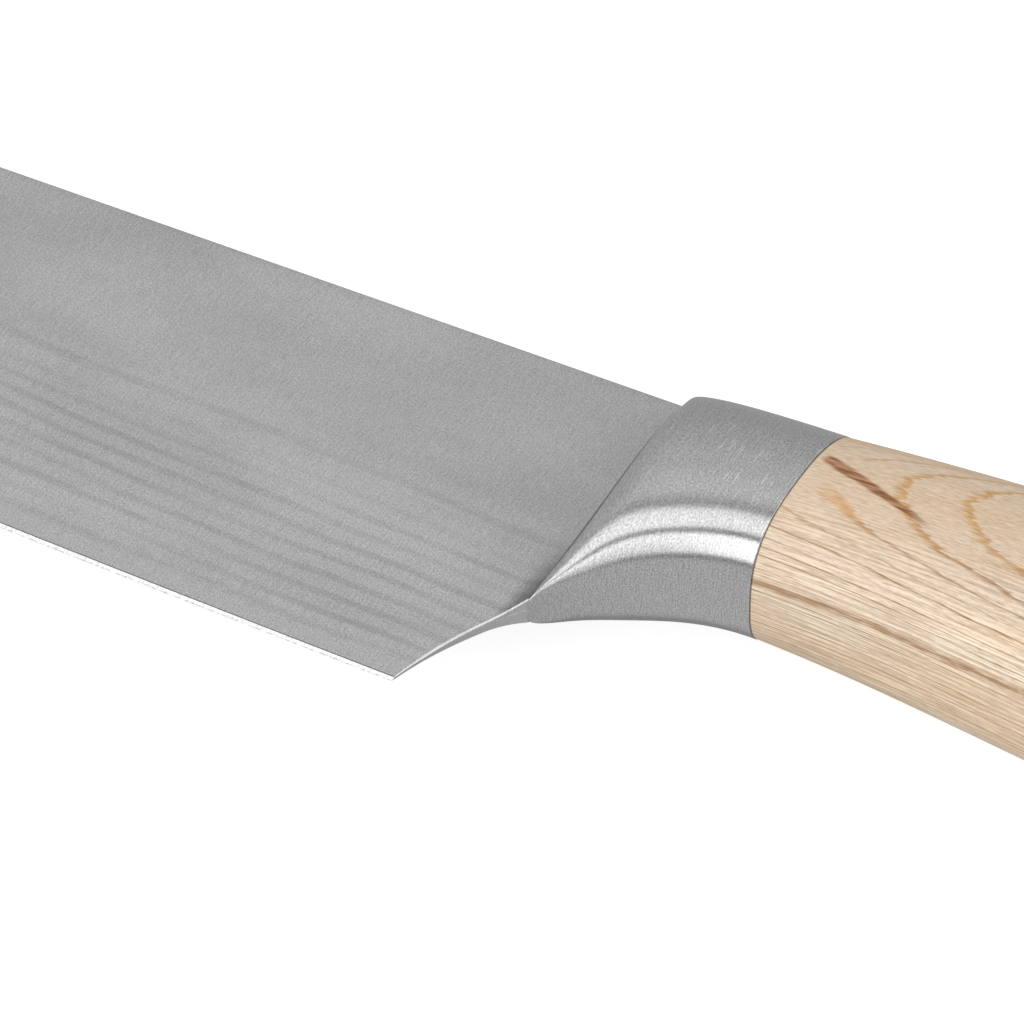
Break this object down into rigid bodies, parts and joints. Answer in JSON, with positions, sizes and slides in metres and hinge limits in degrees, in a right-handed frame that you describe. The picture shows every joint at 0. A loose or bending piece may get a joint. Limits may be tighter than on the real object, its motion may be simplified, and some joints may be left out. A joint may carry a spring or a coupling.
{
  "type": "nakiri knife",
  "caption": "Broad straight-edged vegetable knife: laminated steel blade with a blunt nose, flared steel bolster and a rounded one-piece wooden handle on a hidden tang.",
  "frame": {"origin": "middle of the box's underside: the table under a knife that lies on its right side", "axes": "+X from the nose to the butt, +Y from the cutting edge to the spine, +Z out of the left face, up from the table"},
  "size_m": [0.2986, 0.0526, 0.0201],
  "materials": {
    "core_steel": "fine satin, honed bright at the edge",
    "layered_steel": "fine cross-brushed satin with faint layer lines",
    "bolster_steel": "brushed round the grip",
    "pale_wood": "pale open-grained wood, oiled matt",
    "resin": "cured amber resin"
  },
  "bodies": {
    "root": {"blade_core": "core_steel", "left_cladding": "layered_steel", "right_cladding": "layered_steel", "bolster": "bolster_steel", "handle": "pale_wood", "tang_bedding": "resin"}
  },
  "joints": []
}
